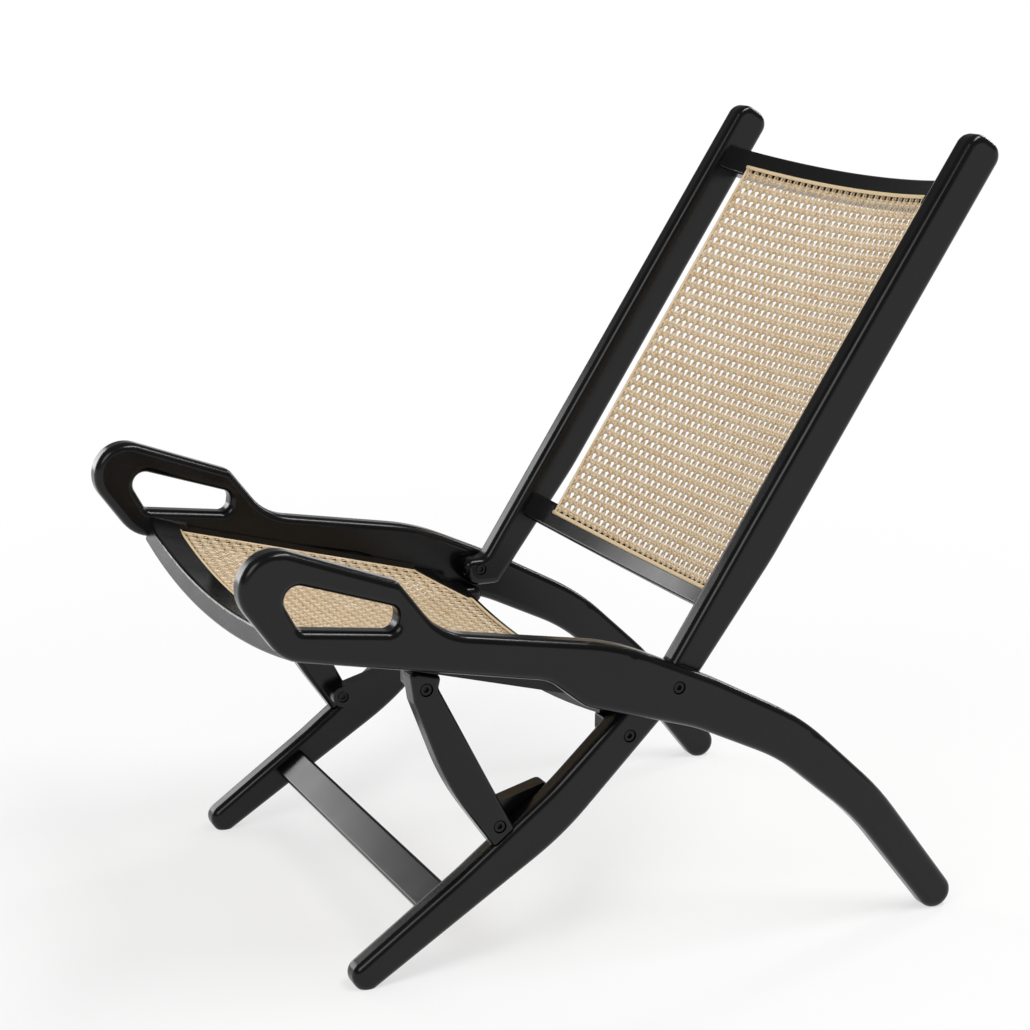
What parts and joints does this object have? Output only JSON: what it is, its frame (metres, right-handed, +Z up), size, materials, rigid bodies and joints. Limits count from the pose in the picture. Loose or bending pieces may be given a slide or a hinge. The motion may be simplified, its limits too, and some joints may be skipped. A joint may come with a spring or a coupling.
{
  "type": "folding lounge chair",
  "caption": "Low lounge chair with crossed legs of black lacquered boards, loop handles, a sloping caned seat and a caned back that folds forward onto the seat.",
  "frame": {"origin": "on the floor, below the middle of the chair", "axes": "+X to the sitter's left, -Y the way the sitter looks, +Z up"},
  "size_m": [0.52, 0.7488, 0.7447],
  "materials": {
    "black_lacquer": "gloss black lacquer over wood",
    "woven_cane": "natural woven rattan cane, satin",
    "reed": "natural rattan reed, satin",
    "black_steel": "black oxide steel",
    "nylon": "black nylon"
  },
  "bodies": {
    "frame": {"side_rail_left": "black_lacquer", "side_rail_right": "black_lacquer", "front_leg_left": "black_lacquer", "front_leg_right": "black_lacquer", "strut_left": "black_lacquer", "strut_right": "black_lacquer", "seat_bearer_left": "black_lacquer", "seat_bearer_right": "black_lacquer", "seat_corner_left": "black_lacquer", "seat_corner_right": "black_lacquer", "strut_cheek_left": "black_lacquer", "strut_cheek_right": "black_lacquer", "leg_cheek_left": "black_lacquer", "leg_cheek_right": "black_lacquer", "leg_lug_left": "black_lacquer", "leg_lug_right": "black_lacquer", "leg_stretcher": "black_lacquer", "seat_front_rail": "black_lacquer", "seat_rear_rail": "black_lacquer", "seat_cane": "woven_cane", "seat_splines": "reed", "pivot_bolts": "black_steel", "pivot_sleeve_nuts": "black_steel", "pivot_washers": "nylon", "leg_bolts": "black_steel", "leg_sleeve_nuts": "black_steel", "strut_bolts": "black_steel", "strut_sleeve_nuts": "black_steel"},
    "back": {"back_post_left": "black_lacquer", "back_post_right": "black_lacquer", "back_bottom_rail": "black_lacquer", "back_top_rail": "black_lacquer", "back_cane": "woven_cane", "back_splines": "reed"}
  },
  "joints": [
    {"name": "back_fold", "type": "hinge", "parent": "frame", "child": "back", "pos_m": [0, 0.03975, 0.25875], "axis": [1, 0, 0], "range_deg": [0, 105]}
  ]
}
